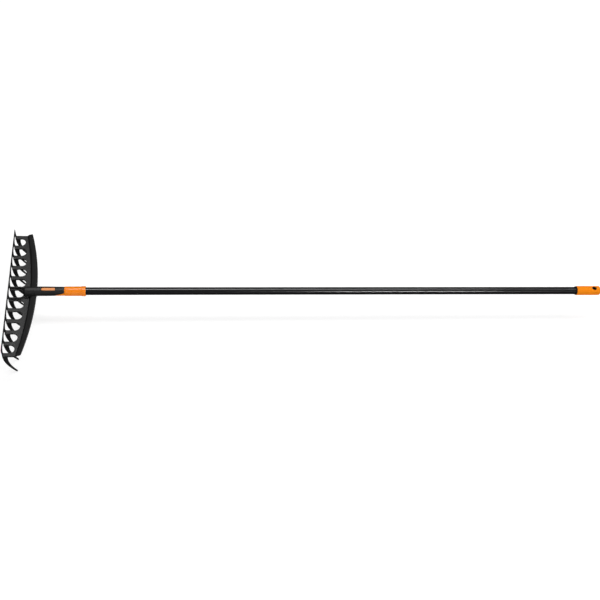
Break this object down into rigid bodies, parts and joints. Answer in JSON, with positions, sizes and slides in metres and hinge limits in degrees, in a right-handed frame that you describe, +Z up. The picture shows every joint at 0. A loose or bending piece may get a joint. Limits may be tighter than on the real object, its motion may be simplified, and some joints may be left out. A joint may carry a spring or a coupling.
{
  "type": "rake",
  "caption": "Long-handled rake: curled tines under a slotted plate, arched front rail, rear levelling blade, quick-release collar, round tube, end cap with a hanging hole.",
  "frame": {"origin": "on the ground that the tine tips touch, below the middle of the rake's bounding box", "axes": "+X along the shaft from the head to the hanging end, +Y along the head, +Z up, away from the tines"},
  "size_m": [1.82, 0.4328, 0.122],
  "materials": {
    "head_black": "fine matte grain",
    "inlay_orange": "smooth, slightly faded",
    "collar_orange": "satin",
    "cap_orange": "satin",
    "insert_black": "smooth",
    "shaft_black": "satin black coating",
    "spring_steel": "bright"
  },
  "bodies": {
    "handle": {"spigot": "insert_black", "spigot_pin": "spring_steel", "stop_ring": "spring_steel", "spring_seat": "spring_steel", "shaft_tube": "shaft_black", "cap_ring": "insert_black", "end_cap": "cap_orange", "end_plug": "insert_black", "cap_pin": "cap_orange"},
    "collar": {"lock_collar": "collar_orange", "collar_ring": "collar_orange", "collar_spring": "spring_steel"},
    "head": {"tine_1": "head_black", "tine_2": "head_black", "tine_3": "head_black", "tine_4": "head_black", "tine_5": "head_black", "tine_6": "head_black", "tine_7": "head_black", "tine_8": "head_black", "tine_9": "head_black", "tine_10": "head_black", "tine_11": "head_black", "tine_12": "head_black", "plate_bars": "head_black", "bays_odd": "head_black", "bays_even": "head_black", "rail_posts": "head_black", "rail_strip": "head_black", "levelling_blade": "head_black", "neck": "head_black", "neck_ribs": "head_black", "neck_fingers": "head_black", "neck_inlay": "inlay_orange"}
  },
  "joints": [
    {"name": "collar_slide", "type": "slide", "parent": "handle", "child": "collar", "axis": [1, 0, 0], "range_m": [0, 0.014], "stiffness_N_per_m": 800, "springref_m": -0.006, "deforming": ["collar_spring"]},
    {"name": "head_pull", "type": "slide", "parent": "handle", "child": "head", "axis": [-1, 0, 0], "range_m": [0, 0.08], "deforming": ["neck_fingers"]}
  ]
}
